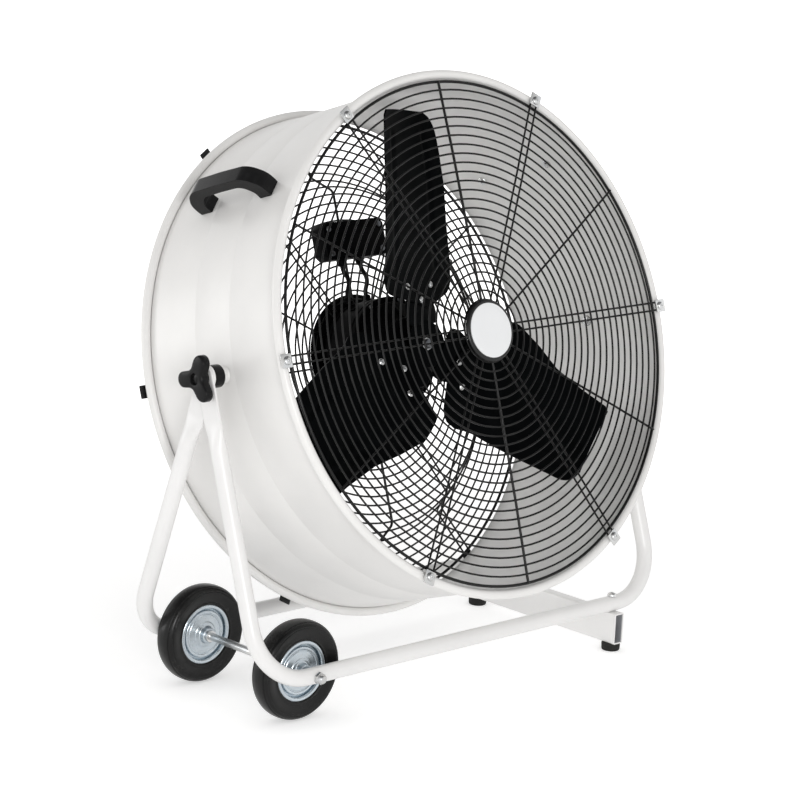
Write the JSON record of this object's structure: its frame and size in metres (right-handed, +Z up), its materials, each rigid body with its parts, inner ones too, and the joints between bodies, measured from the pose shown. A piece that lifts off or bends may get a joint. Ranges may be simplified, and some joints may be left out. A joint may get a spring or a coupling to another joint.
{
  "type": "drum fan",
  "caption": "Mobile drum fan: guarded steel drum with axial blades and motor, tilting on two clamp knobs in a bent-tube base with wheels and rubber feet",
  "frame": {"origin": "on the floor under the middle of the fan's bounding box", "axes": "+Z up, the fan blows towards -Y, the clamp knobs' axis runs along X, wheels on the -X side"},
  "size_m": [0.8786, 0.5546, 0.9222],
  "materials": {
    "drum_paint": "satin powder coat",
    "frame_paint": "satin powder coat",
    "zinc": "bright zinc",
    "foot_rubber": "matte",
    "tyre_rubber": "matte",
    "guard_wire": "gloss powder coat",
    "black_bolts": "satin",
    "badge_black": "gloss",
    "badge_white": "gloss",
    "motor_paint": "satin",
    "box_plastic": "matte",
    "lead_sheath": "matte",
    "grip_plastic": "fine texture",
    "blade_paint": "satin"
  },
  "bodies": {
    "base": {"front_frame_tube": "frame_paint", "rear_frame_tube": "frame_paint", "support_crossbar": "frame_paint", "crossbar_bolts": "zinc", "front_foot": "foot_rubber", "rear_foot": "foot_rubber", "wheel_axle": "zinc", "axle_end_nuts": "zinc", "axle_collars": "zinc"},
    "front_wheel": {"front_tyre": "tyre_rubber", "front_rim": "zinc"},
    "rear_wheel": {"rear_tyre": "tyre_rubber", "rear_rim": "zinc"},
    "drum": {"drum_shell": "drum_paint", "front_guard": "guard_wire", "rear_guard": "guard_wire", "front_guard_clips": "zinc", "front_guard_bolts": "zinc", "rear_guard_clips": "zinc", "rear_guard_bolts": "black_bolts", "badge_holder": "badge_black", "badge_disc": "badge_white", "motor_housing": "motor_paint", "motor_front_shield": "motor_paint", "motor_rear_shield": "motor_paint", "motor_shield_screws": "zinc", "motor_mount_plate": "motor_paint", "motor_mount_bolts": "zinc", "control_box": "box_plastic", "control_box_lid": "box_plastic", "control_box_screws": "zinc", "control_box_glands": "box_plastic", "motor_glands": "box_plastic", "motor_leads": "lead_sheath", "right_handle": "grip_plastic", "left_handle": "grip_plastic", "handle_bolts": "zinc", "pivot_studs": "zinc", "right_pivot_spacer": "grip_plastic", "left_pivot_spacer": "grip_plastic"},
    "rotor": {"motor_shaft": "zinc", "rotor_hub": "blade_paint", "hub_bolt": "zinc", "blade_1": "blade_paint", "blade_2": "blade_paint", "blade_3": "blade_paint", "blade_rivets": "zinc"},
    "speed_selector": {"speed_knob": "box_plastic"},
    "left_knob": {"left_clamp_knob": "grip_plastic"},
    "right_knob": {"right_clamp_knob": "grip_plastic"}
  },
  "joints": [
    {"name": "drum_tilt", "type": "hinge", "parent": "base", "child": "drum", "pos_m": [0, -0.01164, 0.5], "axis": [-1, 0, 0], "range_deg": [-38.85, 71.15]},
    {"name": "rotor_spin", "type": "hinge", "parent": "drum", "child": "rotor", "pos_m": [0, -0.01164, 0.5], "axis": [0, 0.9464, -0.3231], "continuous": true},
    {"name": "front_wheel_spin", "type": "hinge", "parent": "base", "child": "front_wheel", "pos_m": [-0.318, -0.11964, 0.075], "axis": [0, 1, 0], "continuous": true},
    {"name": "rear_wheel_spin", "type": "hinge", "parent": "base", "child": "rear_wheel", "pos_m": [-0.318, 0.09636, 0.075], "axis": [0, 1, 0], "continuous": true},
    {"name": "left_knob_turn", "type": "hinge", "parent": "drum", "child": "left_knob", "pos_m": [-0.43, -0.01164, 0.5], "axis": [-1, 0, 0], "range_deg": [0, 360]},
    {"name": "right_knob_turn", "type": "hinge", "parent": "drum", "child": "right_knob", "pos_m": [0.43, -0.01164, 0.5], "axis": [1, 0, 0], "range_deg": [0, 360]},
    {"name": "speed_select", "type": "hinge", "parent": "drum", "child": "speed_selector", "pos_m": [0.04543, 0.17089, 0.61682], "axis": [0, 0.9464, -0.3231], "range_deg": [0, 90]}
  ]
}
